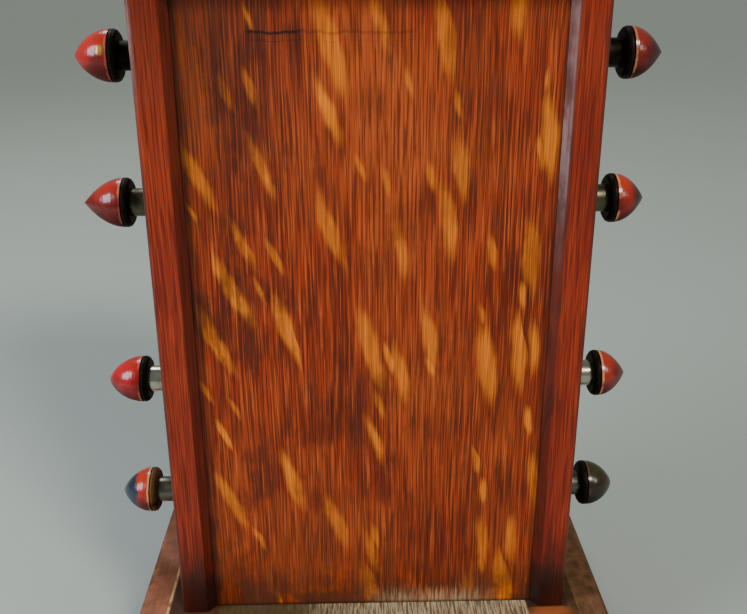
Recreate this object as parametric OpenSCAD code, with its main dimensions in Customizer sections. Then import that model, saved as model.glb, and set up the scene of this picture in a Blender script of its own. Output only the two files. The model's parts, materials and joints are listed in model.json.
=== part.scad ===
// Punch time clock: a tall oak case on a broad base, four through-spindles with
// acorn knobs, a spring-driven pendulum movement and a lever-worked card punch.
// Millimetres. +Z is up, the front faces -Y, the origin is under the middle of the base.

/* [Case] */
// Width of the case across its two front stiles
case_w = 220; // [216:2:226]
// Depth of the case from its front face to its back
case_d = 120; // [116:2:124]
// Thickness of the side, head and door boards
board_t = 12; // [11:0.5:13]
// Height of the underside of the waist moulding
waist_z = 390; // [388:1:392]

/* [Base] */
// How far the base stands out beyond the case all round
base_overhang = 26.5; // [20:0.5:30]
// Height of the glossy base land that the case stands on
land_z = 50; // [48:1:52]
// Thickness of the base land board
land_t = 14; // [12:1:16]
// Height of the turned feet
foot_h = 8; // [6:1:10]

/* [Front frame] */
// Width of each stile, bevel included
stile_w = 18.5; // [16:0.5:21]
// Width of the bevel along each stile's inner edge
stile_bevel_w = 4.2; // [3:0.1:5]
// How deep the front panel lies behind the stiles
panel_recess = 5; // [4:0.5:6]
// Thickness of the front panel
panel_t = 8; // [7:0.5:9]

/* [Spindles and knobs] */
// Heights of the four spindles, top to bottom
spindle_z = [355.5, 277.7, 171, 95.3]; // [90:0.1:360]
// End play taken up by each spindle, towards +X
spindle_shift = [1.7, 0.3, 0.5, -1]; // [-2:0.1:2]
// Radius of a spindle where it runs in its bushes
spindle_r = 6; // [5:0.5:6.5]
// Radius of the bare neck outside the case
neck_r = 7.6; // [7:0.1:8]
// Distance from the middle of a spindle to the back of its knob
knob_back_x = 130.1; // [129.5:0.1:132]
// Largest diameter of a knob
knob_d = 27; // [24:0.5:29]
// Lengths of the left-hand knobs from back to tip, top to bottom
knob_len_left = [23.5, 26.4, 24.2, 22]; // [20:0.1:27]
// Lengths of the right-hand knobs from back to tip, top to bottom
knob_len_right = [21.7, 21.1, 20.7, 21]; // [20:0.1:27]
// How sharply each left-hand knob is drawn in: 1 is round, 2 is pointed
knob_point_left = [1.5, 2, 1.4, 1.5]; // [1.2:0.1:2.2]
// How sharply each right-hand knob is drawn in: 1 is round, 2 is pointed
knob_point_right = [1.9, 1.8, 1.8, 1.4]; // [1.2:0.1:2.2]

/* [Head] */
// Height of the dial's centre
dial_z = 500; // [499:0.5:501]
// Radius of the dial opening in the head board
dial_open_r = 45; // [43:0.5:45.5]
// Height of the card slot
card_slot_h = 4.5; // [4.3:0.1:4.6]
// Width of the card slot
card_slot_w = 64; // [56:2:68]

/* [Hidden] */
$fn = 64;

// Radial clearance of a shaft in its hole
run = 0.05;
// Cut-outs run past a face by this much
eps = 1;
// Gap between neighbours that never touch
gap = 0.3;

// Case planes
face_y = -case_d / 2;
back_y = case_d / 2;
half_w = case_w / 2;
inner_x = half_w - board_t;
stile_t = 14;
frame_back_y = face_y + stile_t;
stile_ease_r = 2.2;
base_half = [half_w + base_overhang, back_y + base_overhang];
seat_z = [waist_z + 6, waist_z + 16];
waist_h = 14;
head_z = [waist_z + waist_h, dial_z + 64];
top_t = 12;
cornice_h = 12;
cornice_out = 12;
waist_out = 7;
land_round = 5;
foot_inset = 22;
foot_r = 10;

// Spindles
bush_r = 9.5;
bush_flange = [11.5, 2];
neck_start_x = half_w + 5.3;
collar = [9, inner_x - 7, inner_x - 2.2];
stub_r = 3;
stub_len = 10;
knob_r = knob_d / 2;
knob_band = 4.2;
knob_step_deg = 6;
knob_groove = 0.7;
ribbon_pack_r = [20, 14];
ribbon_flange_r = 26;
ribbon_w = 56;
roll_r = [16, 28];
roll_flange_r = 32;
paper_w = 60;
flange_t = 2;
web_t = 0.6;

// Movement: the arbors all lie along Y, [x, z]
centre = [0, dial_z];
plate_t = 2;
front_plate_y = -22;
back_plate_y = 14;
plate_half_w = 64;
plate_top_z = dial_z + 58;
plate_leg_w = 14;
plate_leg_top_z = dial_z - 54;
pillar_x = 56;
pillar_z = [dial_z - 48, dial_z + 50];
pillar_r = 3.5;
arbor_r = 1;

// Teeth and modules of the train
barrel_n = 80;
centre_pinion_n = 10;
barrel_m = 0.7;
centre_n = 64;
third_pinion_n = 8;
centre_m = 0.6;
third_n = 60;
escape_pinion_n = 8;
third_m = 0.5;
escape_n = 30;
escape_m = 0.76;
cannon_n = 12;
minute_n = 36;
minute_m = 0.8;
hour_pinion_n = 12;
hour_n = 48;
hour_m = 0.64;

// Where each wheel and pinion lies along Y, [front, back]
barrel_drum_y = [-11, 8];
barrel_teeth_y = [8, 10.5];
centre_pinion_y = [6, 12];
centre_wheel_y = [-14, -12.5];
third_pinion_y = [-15, -11.5];
third_wheel_y = [-18.5, -17.2];
escape_pinion_y = [-19.2, -16.5];
escape_wheel_y = [-6, -4.7];
anchor_y = [-7, -3.7];
cannon_y = [-31.5, -28.2];
minute_wheel_y = [-31, -29.2];
hour_pinion_y = [-35.5, -31];
hour_wheel_y = [-34, -32.5];
type_drive_y = [-27, -25.5];
minute_type_y = [-45.3, -41.5];
hour_type_y = [-40.5, -36.5];

// Lightening holes of each wheel: [how many, radius, distance from the arbor]
centre_holes = [5, 4, 10.5];
third_holes = [5, 3.2, 8.6];
escape_holes = [5, 2.4, 6.3];
minute_holes = [5, 2.8, 8.5];
hour_holes = [5, 3.2, 9];
type_holes = [6, 4, 14];

function centres(na, nb, m) = m * (na + nb) / 2;
function polar(p, r, a) = [p[0] + r * cos(a), p[1] + r * sin(a)];
// Phase of gear b so that its gap meets gear a's tooth along the line at angle dir
function mesh_phase(na, pa, dir, nb) = dir + 180 - (360 / nb) * (0.5 - (dir - pa) * na / 360);

barrel_dir = -30;
third_dir = 60;
barrel_c = polar(centre, centres(barrel_n, centre_pinion_n, barrel_m), barrel_dir);
third_c = polar(centre, centres(centre_n, third_pinion_n, centre_m), third_dir);
third_to_escape = centres(third_n, escape_pinion_n, third_m);
escape_c = [0, third_c[1] + sqrt(pow(third_to_escape, 2) - pow(third_c[0], 2))];
escape_dir = atan2(escape_c[1] - third_c[1], escape_c[0] - third_c[0]);
anchor_c = [0, escape_c[1] + 16.5];
minute_c = polar(centre, centres(cannon_n, minute_n, minute_m), 180);
type_c = polar(centre, centres(hour_n, hour_n, hour_m), -90);

barrel_phase = mesh_phase(centre_pinion_n, 0, barrel_dir, barrel_n);
third_pinion_phase = mesh_phase(centre_n, 0, third_dir, third_pinion_n);
escape_pinion_phase = mesh_phase(third_n, 0, escape_dir, escape_pinion_n);
minute_phase = mesh_phase(cannon_n, 0, 180, minute_n);
hour_phase = mesh_phase(hour_pinion_n, 0, 0, hour_n);
type_hour_phase = mesh_phase(hour_n, hour_phase, -90, hour_n);
type_minute_phase = mesh_phase(hour_n, 0, -90, hour_n);

// Dial and hands
dial_r = dial_open_r + 3;
dial_y = face_y + 9;
dial_t = 1.2;
winding_r = 3;
barrel_drum_r = 22;
hour_pipe_r = 2.6;
cannon_pipe_r = 1.8;
minute_hand_deg = 60;
hour_hand_deg = 305;
hand_t = 0.8;

// Card slot, type wheels and hammer
slot_z = dial_z - 60;
type_r = 23.2;
type_arbor_r = 1.5;
type_hub_r = 4;
minute_lands = 60;
hour_lands = 24;
guide_w = 36;
guide_back_y = -25;
hammer_c = [-29, dial_z - 66];
hammer_pin_r = 1.5;
lever_c = [-4, dial_z - 76];
lever_shaft_r = 4;

// Back door
door_x = [-inner_x + 0.5, inner_x - 1];
door_z = [land_z + 1, head_z[1] - 1];
hinge_c = [-inner_x, back_y + 2.8];
hinge_r = 2.5;
hinge_pin_r = 1.2;
hinge_z = [130, 470];
hinge_len = 48;
leaf_t = 1.5;
key_c = [80, 300];
key_r = 4;

// Bezel
bezel_r = [dial_open_r - 1, dial_open_r + 7];
bezel_hinge_c = [-(dial_open_r + 12), face_y - 3.3];
bezel_pin_r = 0.9;

// Rod along X from x0 to x1
module rod_x(r, x0, x1) { translate([x0, 0, 0]) rotate([0, 90, 0]) cylinder(r = r, h = x1 - x0); }
// Rod along Y from y0 to y1
module rod_y(r, y0, y1) { translate([0, y0, 0]) rotate([-90, 0, 0]) cylinder(r = r, h = y1 - y0); }
// Extrudes a shape drawn as [y, z] along X
module along_x(x0, x1) { translate([x0, 0, 0]) rotate([90, 0, 90]) linear_extrude(x1 - x0) children(); }
// Extrudes a shape drawn as [x, z] along Y
module along_y(y0, y1) { translate([0, y1, 0]) rotate([90, 0, 0]) linear_extrude(y1 - y0) children(); }
// The same between the two ends of a [front, back] pair
module layer(y) { along_y(y[0], y[1]) children(); }
module block(x, y, z) { translate([x[0], y[0], z[0]]) cube([x[1] - x[0], y[1] - y[0], z[1] - z[0]]); }
module at_xz(p) { translate([p[0], 0, p[1]]) children(); }
module at_yz(p) { translate([0, p[0], p[1]]) children(); }
module at_xy(p) { translate([p[0], p[1], 0]) children(); }

// Straight-sided clock tooth form with plenty of backlash
module gear_2d(n, m, phase = 0) {
    root = m * (n / 2 - 1.1);
    tip = m * (n / 2 + 0.75);
    form = [[root, -0.28], [tip, -0.1], [tip, 0.1], [root, 0.28]];
    polygon([for (i = [0:n - 1], p = form)
        let (a = phase + (i + p[1]) * 360 / n) [p[0] * cos(a), p[0] * sin(a)]]);
}
// A wheel with round lightening holes
module wheel_2d(n, m, phase, holes) {
    difference() {
        gear_2d(n, m, phase);
        for (k = [0:holes[0] - 1])
            rotate(k * 360 / holes[0]) translate([holes[2], 0]) circle(holes[1], $fn = 32);
    }
}

// Board with a moulded edge on all four sides: edge is a list of [out, z]
module edged_slab(half_x, half_y, edge) {
    outline = function (h) concat(
        [for (p = edge) [h + p[0], p[1]]],
        [for (i = [len(edge) - 1:-1:0]) [-h - edge[i][0], edge[i][1]]]);
    reach = 2 * (half_x + half_y);
    intersection() {
        along_y(-reach, reach) polygon(outline(half_x));
        along_x(-reach, reach) polygon(outline(half_y));
    }
}
// Moulding mitred round the front and the two sides of the case, cut square at the back
module case_moulding(edge) {
    reach = 2 * (case_w + case_d);
    z0 = edge[0][1];
    z1 = edge[len(edge) - 1][1];
    side = concat([for (p = edge) [half_w + p[0], p[1]]],
        [for (i = [len(edge) - 1:-1:0]) [-half_w - edge[i][0], edge[i][1]]]);
    front = concat([for (p = edge) [face_y - p[0], p[1]]], [[back_y, z1], [back_y, z0]]);
    difference() {
        intersection() {
            along_y(-reach, reach) polygon(side);
            along_x(-reach, reach) polygon(front);
        }
        block([-half_w, half_w], [face_y, back_y + eps], [z0 - eps, z1 + eps]);
    }
}
function half_round(z0, h, out) =
    [for (a = [-90:15:90]) [out * cos(a) + 0.01, z0 + h / 2 + h / 2 * sin(a)]];
function cove(z0, size) =
    concat([for (a = [0:15:90]) [size * (1 - cos(a)) + 0.01, z0 + (size - 2) * sin(a)]],
        [[size, z0 + size]]);
function rounded_top(z0, z1, r) =
    concat([[0, z0]], [for (a = [0:15:90]) [-r + r * cos(a), z1 - r + r * sin(a)]]);

// ---- Case ----
function foot_side() =
    [for (a = [-60:20:60]) [foot_r + 4 * cos(a), foot_h / 2 + foot_h / 2 * sin(a) / sin(60)]];
module feet() {
    color("saddlebrown") for (x = [-1, 1], y = [-1, 1])
        translate([x * (base_half[0] - foot_inset), y * (base_half[1] - foot_inset), 0]) rotate_extrude()
            polygon(concat([[0, 0]], foot_side(), [[0, foot_h]]));
}
module plinth() {
    color("saddlebrown") edged_slab(base_half[0] - 5, base_half[1] - 5,
        concat([[0, foot_h], [0, land_z - land_t - 5]],
            [for (a = [0:30:90]) [-5 * sin(a), land_z - land_t - 5 * cos(a)]]));
}
module base_land() {
    color("saddlebrown")
        edged_slab(base_half[0], base_half[1], rounded_top(land_z - land_t, land_z, land_round));
}
module side_board(s) {
    mirror([s < 0 ? 1 : 0, 0, 0]) color("chocolate") difference() {
        block([inner_x, half_w], [frame_back_y, back_y], [land_z, head_z[1]]);
        for (z = spindle_z) translate([0, 0, z]) rod_x(bush_r, inner_x - eps, half_w + eps);
        if (s > 0) at_yz(lever_c) rod_x(lever_shaft_r + run, inner_x - eps, half_w + eps);
    }
}
module side_left() { side_board(-1); }
module side_right() { side_board(1); }
// Stile with an eased outer corner and a bevelled inner edge
module stile(s) {
    inner = half_w - stile_w;
    ease = [for (a = [0:15:90])
        [half_w - stile_ease_r + stile_ease_r * sin(a), face_y + stile_ease_r - stile_ease_r * cos(a)]];
    outline = concat(ease, [[half_w, frame_back_y], [inner - 4, frame_back_y],
        [inner - 4, face_y + panel_recess + panel_t], [inner, face_y + panel_recess + panel_t],
        [inner, face_y + panel_recess], [inner + stile_bevel_w, face_y]]);
    mirror([s < 0 ? 1 : 0, 0, 0]) color("sienna")
        translate([0, 0, land_z]) linear_extrude(waist_z - land_z) polygon(outline);
}
module stile_left() { stile(-1); }
module stile_right() { stile(1); }
module front_panel() {
    panel_half = half_w - stile_w;
    color("peru") block([-panel_half, panel_half],
        [face_y + panel_recess, face_y + panel_recess + panel_t], [land_z, waist_z]);
}
module waist_moulding() {
    color("sienna") union() {
        case_moulding(half_round(waist_z, waist_h, waist_out));
        block([-half_w, half_w], [face_y, frame_back_y], [waist_z, waist_z + waist_h]);
    }
}
module head_front() {
    color("peru") difference() {
        block([-half_w, half_w], [face_y, frame_back_y], head_z);
        at_xz(centre) rod_y(dial_open_r, face_y - eps, frame_back_y + eps);
        at_xz(centre) rod_y(dial_r + 0.2, dial_y, frame_back_y + eps);
        block([-card_slot_w / 2, card_slot_w / 2], [face_y - eps, frame_back_y + eps],
            [slot_z, slot_z + card_slot_h]);
    }
}
module cornice() { color("sienna") case_moulding(cove(head_z[1] - cornice_h, cornice_out)); }
module top_board() {
    color("saddlebrown") translate([0, -6, 0])
        edged_slab(half_w + 18, case_d / 2 + 12, rounded_top(head_z[1], head_z[1] + top_t, 4));
}
module seat_board() {
    color("burlywood") block([-inner_x, inner_x], [frame_back_y, door_inner_y() - 2], seat_z);
}
function door_inner_y() = back_y - board_t;

// ---- Spindles ----
module spindle_bushes() {
    color("goldenrod") for (s = [-1, 1], z = spindle_z) mirror([s < 0 ? 1 : 0, 0, 0])
        translate([0, 0, z]) difference() {
            union() {
                rod_x(bush_r, inner_x, half_w);
                rod_x(bush_flange[0], half_w, half_w + bush_flange[1]);
            }
            rod_x(spindle_r + run, inner_x - eps, half_w + bush_flange[1] + eps);
        }
}
module spindle(i) {
    color("silver") translate([spindle_shift[i], 0, spindle_z[i]]) {
        rod_x(spindle_r, -knob_back_x, knob_back_x);
        for (s = [0, 1]) mirror([s, 0, 0]) {
            rod_x(neck_r, neck_start_x, knob_back_x);
            rod_x(collar[0], collar[1], collar[2]);
            rod_x(stub_r, knob_back_x - eps, knob_back_x + stub_len);
        }
    }
}
module spindle_1() { spindle(0); }
module spindle_2() { spindle(1); }
module spindle_3() { spindle(2); }
module spindle_4() { spindle(3); }

// Acorn knob: a chamfered back band, a groove, then a dome drawn in to a point
module knob(i, s) {
    len = s < 0 ? knob_len_left[i] : knob_len_right[i];
    point = s < 0 ? knob_point_left[i] : knob_point_right[i];
    dome = len - knob_band;
    band = [[knob_r - 2, 0], [knob_r - 0.6, 1], [knob_r, 2.4], [knob_r, knob_band - 0.8],
        [knob_r - knob_groove, knob_band - 0.4]];
    arc = [for (a = [90:-knob_step_deg:knob_step_deg])
        [knob_r * pow(sin(a), point), knob_band + dome * cos(a)]];
    socket = [[0, stub_len + 0.5], [stub_r + run, stub_len + 0.5]];
    color("firebrick") translate([spindle_shift[i], 0, spindle_z[i]]) mirror([s < 0 ? 1 : 0, 0, 0])
        translate([knob_back_x, 0, 0]) rotate([0, 90, 0]) rotate_extrude()
            polygon(concat([[stub_r + run, 0]], band, arc, [[0, len]], socket));
}
module knob_left_1() { knob(0, -1); }
module knob_left_2() { knob(1, -1); }
module knob_left_3() { knob(2, -1); }
module knob_left_4() { knob(3, -1); }
module knob_right_1() { knob(0, 1); }
module knob_right_2() { knob(1, 1); }
module knob_right_3() { knob(2, 1); }
module knob_right_4() { knob(3, 1); }

// Spool with its wound band; the bore slides on the spindle
module spool(i, pack_r, flange_r, width) {
    translate([spindle_shift[i], 0, spindle_z[i]]) difference() {
        union() {
            rod_x(pack_r, -width / 2 - 2, width / 2 + 2);
            for (s = [0, 1]) mirror([s, 0, 0]) rod_x(flange_r, width / 2 + 2, width / 2 + 2 + flange_t);
        }
        rod_x(spindle_r + run, -width, width);
    }
}
module ribbon_spool_1() { color("dimgray") spool(0, ribbon_pack_r[0], ribbon_flange_r, ribbon_w + 4); }
module ribbon_spool_2() { color("dimgray") spool(1, ribbon_pack_r[1], ribbon_flange_r, ribbon_w + 4); }
module paper_roll_3() { color("ivory") spool(2, roll_r[0], roll_flange_r, paper_w + 4); }
module paper_roll_4() { color("ivory") spool(3, roll_r[1], roll_flange_r, paper_w + 4); }

// Band drawn straight between two packs, tangent to both on their front side
module web(za, ra, zb, rb, width) {
    nz = (rb - ra) / (za - zb);
    n = [-sqrt(1 - nz * nz), nz];
    a = [0, za] + (ra + gap) * n;
    b = [0, zb] + (rb + gap) * n;
    along_x(-width / 2, width / 2) polygon([a, b, b + web_t * n, a + web_t * n]);
}
module ribbon_web() {
    color("black") web(spindle_z[0], ribbon_pack_r[0], spindle_z[1], ribbon_pack_r[1], ribbon_w);
}
module paper_web() { color("ivory") web(spindle_z[2], roll_r[0], spindle_z[3], roll_r[1], paper_w); }

// ---- Head: dial, card slot, lever ----
module dial() {
    color("white") difference() {
        at_xz(centre) rod_y(dial_r, dial_y, dial_y + dial_t);
        at_xz(centre) rod_y(hour_pipe_r + 0.4, dial_y - eps, dial_y + dial_t + eps);
        at_xz(barrel_c) rod_y(winding_r + 0.6, dial_y - eps, dial_y + dial_t + eps);
    }
}
module card_escutcheon() {
    color("goldenrod") difference() {
        block([-card_slot_w / 2 - 7, card_slot_w / 2 + 7], [face_y - 1.6, face_y],
            [slot_z - 6, slot_z + card_slot_h + 3]);
        block([-card_slot_w / 2, card_slot_w / 2], [face_y - 3, face_y + eps],
            [slot_z, slot_z + card_slot_h]);
    }
}
// Channel that the card slides into; its cheeks carry the hammer's pin
module card_guide() {
    y = [frame_back_y + gap, guide_back_y];
    floor_z = [slot_z - 1.6, slot_z - gap];
    roof_z = [slot_z + card_slot_h + gap, slot_z + card_slot_h + 1.5];
    color("silver") difference() {
        union() {
            for (s = [0, 1]) mirror([s, 0, 0]) block([guide_w - 3, guide_w], y, [seat_z[1], roof_z[1]]);
            block([-guide_w, guide_w], y, floor_z);
            block([-guide_w, guide_w], y, roof_z);
            block([-guide_w, guide_w], [guide_back_y - 1, guide_back_y], [floor_z[0], roof_z[1]]);
        }
        block([-8, 8], [y[0] + 0.7, -34], [floor_z[0] - eps, floor_z[1] + eps]);
        block([-14, 14], [y[0] - eps, -35.3], [roof_z[0] - eps, roof_z[1] + eps]);
        at_yz(hammer_c) rod_x(hammer_pin_r + run, -guide_w - eps, guide_w + eps);
    }
}
module print_hammer() {
    color("gray") at_yz(hammer_c) {
        rod_x(hammer_pin_r, -guide_w, guide_w);
        rod_x(3.5, -5, 5);
        block([-5, 5], [-14, 0], [-3, 1]);
        block([-5, 5], [-14, -8.5], [-3, 4]);
        rotate([-35, 0, 0]) block([-5, 5], [0, 9], [-1.5, 1.5]);
    }
}
// Shaft, outside arm with its ball, and the inside crank
module punch_lever() {
    color("silver") at_yz(lever_c) {
        rod_x(lever_shaft_r, guide_w + 4, half_w + 12);
        rod_x(8, half_w + 4, half_w + 9);
        rotate([-16, 0, 0]) {
            block([half_w + 4.5, half_w + 8.5], [-62, 0], [-4, 4]);
            translate([0, -62, 0]) rod_x(4, half_w + 4.5, half_w + 8.5);
            translate([half_w + 6.5, -67, 0]) sphere(r = 8);
        }
        rod_x(7, guide_w + 4, guide_w + 9);
        block([guide_w + 4, guide_w + 9], [-14, 0], [-2, 2]);
    }
}

// ---- Movement ----
module plate(y) {
    difference() {
        block([-plate_half_w, plate_half_w], [y, y + plate_t], [seat_z[1], plate_top_z]);
        block([plate_leg_w - plate_half_w, plate_half_w - plate_leg_w], [y - eps, y + plate_t + eps],
            [seat_z[1] - eps, plate_leg_top_z]);
        for (c = [centre, third_c, escape_c, anchor_c])
            at_xz(c) rod_y(arbor_r + run, y - eps, y + plate_t + eps);
        at_xz(barrel_c) rod_y(winding_r + run, y - eps, y + plate_t + eps);
    }
}
module front_plate() {
    color("goldenrod") {
        difference() {
            plate(front_plate_y);
            at_xz(type_c) rod_y(type_arbor_r + run, front_plate_y - eps, front_plate_y + plate_t + eps);
        }
        at_xz(minute_c) rod_y(1.2, front_plate_y - 15, front_plate_y + 0.5);
    }
}
module back_plate() { color("goldenrod") plate(back_plate_y); }
module plate_pillars() {
    color("goldenrod") for (x = [-1, 1], z = pillar_z)
        at_xz([x * pillar_x, z]) rod_y(pillar_r, front_plate_y + plate_t, back_plate_y);
}
module centre_arbor() {
    color("silver") at_xz(centre) {
        rod_y(arbor_r, dial_y - 6.5, back_plate_y + plate_t);
        layer(centre_pinion_y) gear_2d(centre_pinion_n, barrel_m);
        layer(centre_wheel_y) wheel_2d(centre_n, centre_m, 0, centre_holes);
        rod_y(3, -15.5, -11);
    }
}
module cannon_pinion() {
    color("goldenrod") at_xz(centre) difference() {
        union() {
            rod_y(cannon_pipe_r, dial_y - 5.2, type_drive_y[1]);
            layer(cannon_y) gear_2d(cannon_n, minute_m);
            layer(type_drive_y) wheel_2d(hour_n, hour_m, 0, hour_holes);
        }
        rod_y(arbor_r + run, dial_y - 8, -20);
    }
}
module hour_wheel() {
    color("goldenrod") at_xz(centre) difference() {
        union() {
            rod_y(hour_pipe_r, dial_y - 2.6, -32.2);
            layer(hour_wheel_y) wheel_2d(hour_n, hour_m, hour_phase, hour_holes);
        }
        rod_y(cannon_pipe_r + run, dial_y - 8, -30);
    }
}
module minute_wheel() {
    color("goldenrod") at_xz(minute_c) difference() {
        union() {
            layer(minute_wheel_y) wheel_2d(minute_n, minute_m, minute_phase, minute_holes);
            layer(hour_pinion_y) gear_2d(hour_pinion_n, hour_m);
        }
        rod_y(1.2 + run, -40, -26);
    }
}
module third_wheel() {
    color("goldenrod") at_xz(third_c) {
        rod_y(arbor_r, front_plate_y, back_plate_y + plate_t);
        layer(third_pinion_y) gear_2d(third_pinion_n, centre_m, third_pinion_phase);
        layer(third_wheel_y) wheel_2d(third_n, third_m, 0, third_holes);
    }
}
module escape_wheel() {
    color("goldenrod") at_xz(escape_c) {
        rod_y(arbor_r, front_plate_y, back_plate_y + plate_t);
        layer(escape_pinion_y) gear_2d(escape_pinion_n, third_m, escape_pinion_phase);
        layer(escape_wheel_y) wheel_2d(escape_n, escape_m, 0, escape_holes);
    }
}
module mainspring_barrel() {
    color("goldenrod") at_xz(barrel_c) difference() {
        union() {
            rod_y(barrel_drum_r, barrel_drum_y[0], barrel_drum_y[1]);
            layer(barrel_teeth_y) gear_2d(barrel_n, barrel_m, barrel_phase);
        }
        rod_y(winding_r + run, -12, 12);
    }
}
module winding_arbor() {
    half_side = 0.95 * winding_r / sqrt(2);
    color("silver") at_xz(barrel_c) {
        rod_y(winding_r, dial_y + 3, back_plate_y + plate_t);
        block([-half_side, half_side], [dial_y - 3.2, dial_y + 4], [-half_side, half_side]);
    }
}
// Anchor, its arbor and the pendulum that hangs behind the back plate
module pendulum() {
    color("goldenrod") at_xz(anchor_c) {
        rod_y(arbor_r, front_plate_y, back_plate_y + 10);
        layer(anchor_y) polygon([[0, 3], [-11.5, -4], [-12, -8], [-9.8, -6.4], [-8.6, -4.6], [0, -0.5],
            [8.6, -4.6], [9.8, -6.4], [12, -8], [11.5, -4]]);
        block([-1, 1], [back_plate_y + 5, back_plate_y + 6.6], [-90, 0]);
        rod_y(2.5, back_plate_y + 3.5, back_plate_y + 8);
        translate([0, 0, -95]) rod_y(12, back_plate_y + 3, back_plate_y + 10);
    }
}
// The figures of a type wheel stand out as small lands round its rim
module minute_type_wheel() {
    color("dimgray") at_xz(type_c) {
        rod_y(type_arbor_r, frame_back_y + 0.7, front_plate_y + plate_t);
        layer(minute_type_y) wheel_2d(minute_lands, type_r / (minute_lands / 2 + 0.75), 0, type_holes);
        layer(type_drive_y) wheel_2d(hour_n, hour_m, type_minute_phase, hour_holes);
    }
}
module hour_type_wheel() {
    color("dimgray") at_xz(type_c) difference() {
        union() {
            rod_y(type_hub_r, hour_type_y[0], hour_wheel_y[1]);
            layer(hour_type_y) wheel_2d(hour_lands, type_r / (hour_lands / 2 + 0.75), 0, type_holes);
            layer(hour_wheel_y) wheel_2d(hour_n, hour_m, type_hour_phase, hour_holes);
        }
        rod_y(type_arbor_r + run, -46, -28);
    }
}

// ---- Hands ----
// A spade hand from its hub, pointing up before it is turned to its hour
module hand(y, t, len, hub_r, bore_r, deg) {
    at_xz(centre) rotate([0, deg, 0]) along_y(y, y + t) difference() {
        union() {
            circle(hub_r);
            polygon([[-1.1, 0], [-0.8, len * 0.62], [-2.6, len * 0.72], [-1.6, len * 0.84], [0, len],
                [1.6, len * 0.84], [2.6, len * 0.72], [0.8, len * 0.62], [1.1, 0]]);
            polygon([[-1, 0], [-1.6, -len * 0.22], [1.6, -len * 0.22], [1, 0]]);
        }
        circle(bore_r);
    }
}
module minute_hand() {
    color("midnightblue") hand(dial_y - 5, hand_t, 38, 3.4, cannon_pipe_r + run, minute_hand_deg);
}
module hour_hand() {
    color("midnightblue") hand(dial_y - 2.6, hand_t, 26, 4.2, hour_pipe_r + run, hour_hand_deg);
}

// ---- Bezel ----
module bezel_ring() {
    profile_h = 5.4;
    color("goldenrod") union() {
        at_xz(centre) translate([0, face_y - 0.3, 0]) rotate([90, 0, 0]) rotate_extrude()
            polygon(concat([[bezel_r[0], 0], [bezel_r[1], 0], [bezel_r[1], 1.5]],
                [for (a = [0:15:90]) [bezel_r[0] + 1.2 + 6.2 * cos(a), 1.5 + 3.9 * sin(a)]],
                [[bezel_r[0], profile_h - 0.6]]));
        // ear and middle knuckle
        block([bezel_hinge_c[0], -bezel_r[1] + 1.5], [bezel_hinge_c[1] - 1.2, bezel_hinge_c[1] + 1.2],
            [dial_z - 4, dial_z + 4]);
        at_xy(bezel_hinge_c) translate([0, 0, dial_z - 4]) cylinder(r = 2, h = 8);
        at_xy(bezel_hinge_c) translate([0, 0, dial_z - 10]) cylinder(r = bezel_pin_r, h = 20);
    }
}
module dial_glass() {
    color("lightblue", 0.4) at_xz(centre) rod_y(bezel_r[0] - 0.02, face_y - 4.2, face_y - 2.4);
}
module bezel_hinge() {
    color("goldenrod") difference() {
        union() {
            block([bezel_hinge_c[0] - 9, bezel_hinge_c[0] + 1.5], [face_y - 1, face_y],
                [dial_z - 12, dial_z + 12]);
            for (z = [dial_z - 10, dial_z + 4.4]) {
                at_xy(bezel_hinge_c) translate([0, 0, z]) cylinder(r = 2, h = 5.6);
                block([bezel_hinge_c[0] - 2, bezel_hinge_c[0]], [bezel_hinge_c[1], face_y], [z, z + 5.6]);
            }
        }
        at_xy(bezel_hinge_c) translate([0, 0, dial_z - 14]) cylinder(r = bezel_pin_r + run, h = 28);
        // room for the middle knuckle
        block([bezel_hinge_c[0] - 3, bezel_hinge_c[0] + 3], [face_y - 6, face_y - 0.7],
            [dial_z - 4.4, dial_z + 4.4]);
    }
}

// ---- Back door ----
module back_door() {
    color("peru") difference() {
        block(door_x, [door_inner_y(), back_y], door_z);
        block([door_x[0] + 28, door_x[1] - 28], [back_y - 4, back_y + eps], [door_z[0] + 34, door_z[1] - 34]);
        at_xz(key_c) rod_y(key_r + run, door_inner_y() - eps, back_y + eps);
    }
}
function knuckle_z(h, k) = h + k * hinge_len / 3;
module knuckle(h, k) {
    at_xy(hinge_c) translate([0, 0, knuckle_z(h, k) + gap / 2])
        cylinder(r = hinge_r, h = hinge_len / 3 - gap);
}
// Leaves, knuckles and pins that turn with the door
module door_leaves() {
    color("goldenrod") for (h = hinge_z) {
        block([hinge_c[0] + 1.2, hinge_c[0] + 18], [back_y, back_y + leaf_t],
            [knuckle_z(h, 1) + gap / 2, knuckle_z(h, 2) - gap / 2]);
        knuckle(h, 1);
        at_xy(hinge_c) translate([0, 0, h]) cylinder(r = hinge_pin_r, h = hinge_len);
    }
}
// Fixed leaves on the left side board and the strike for the lock's cam
module door_fittings() {
    color("goldenrod") {
        for (h = hinge_z) difference() {
            union() for (k = [0, 2]) {
                block([hinge_c[0] - 10, hinge_c[0] - 0.8], [back_y, back_y + leaf_t],
                    [knuckle_z(h, k) + gap / 2, knuckle_z(h, k + 1) - gap / 2]);
                knuckle(h, k);
            }
            at_xy(hinge_c) translate([0, 0, h - eps])
                cylinder(r = hinge_pin_r + run, h = hinge_len + 2 * eps);
        }
        block([inner_x - 7, inner_x], [door_inner_y() - 2, door_inner_y() - 0.4],
            [key_c[1] - 10, key_c[1] + 10]);
    }
}
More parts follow.
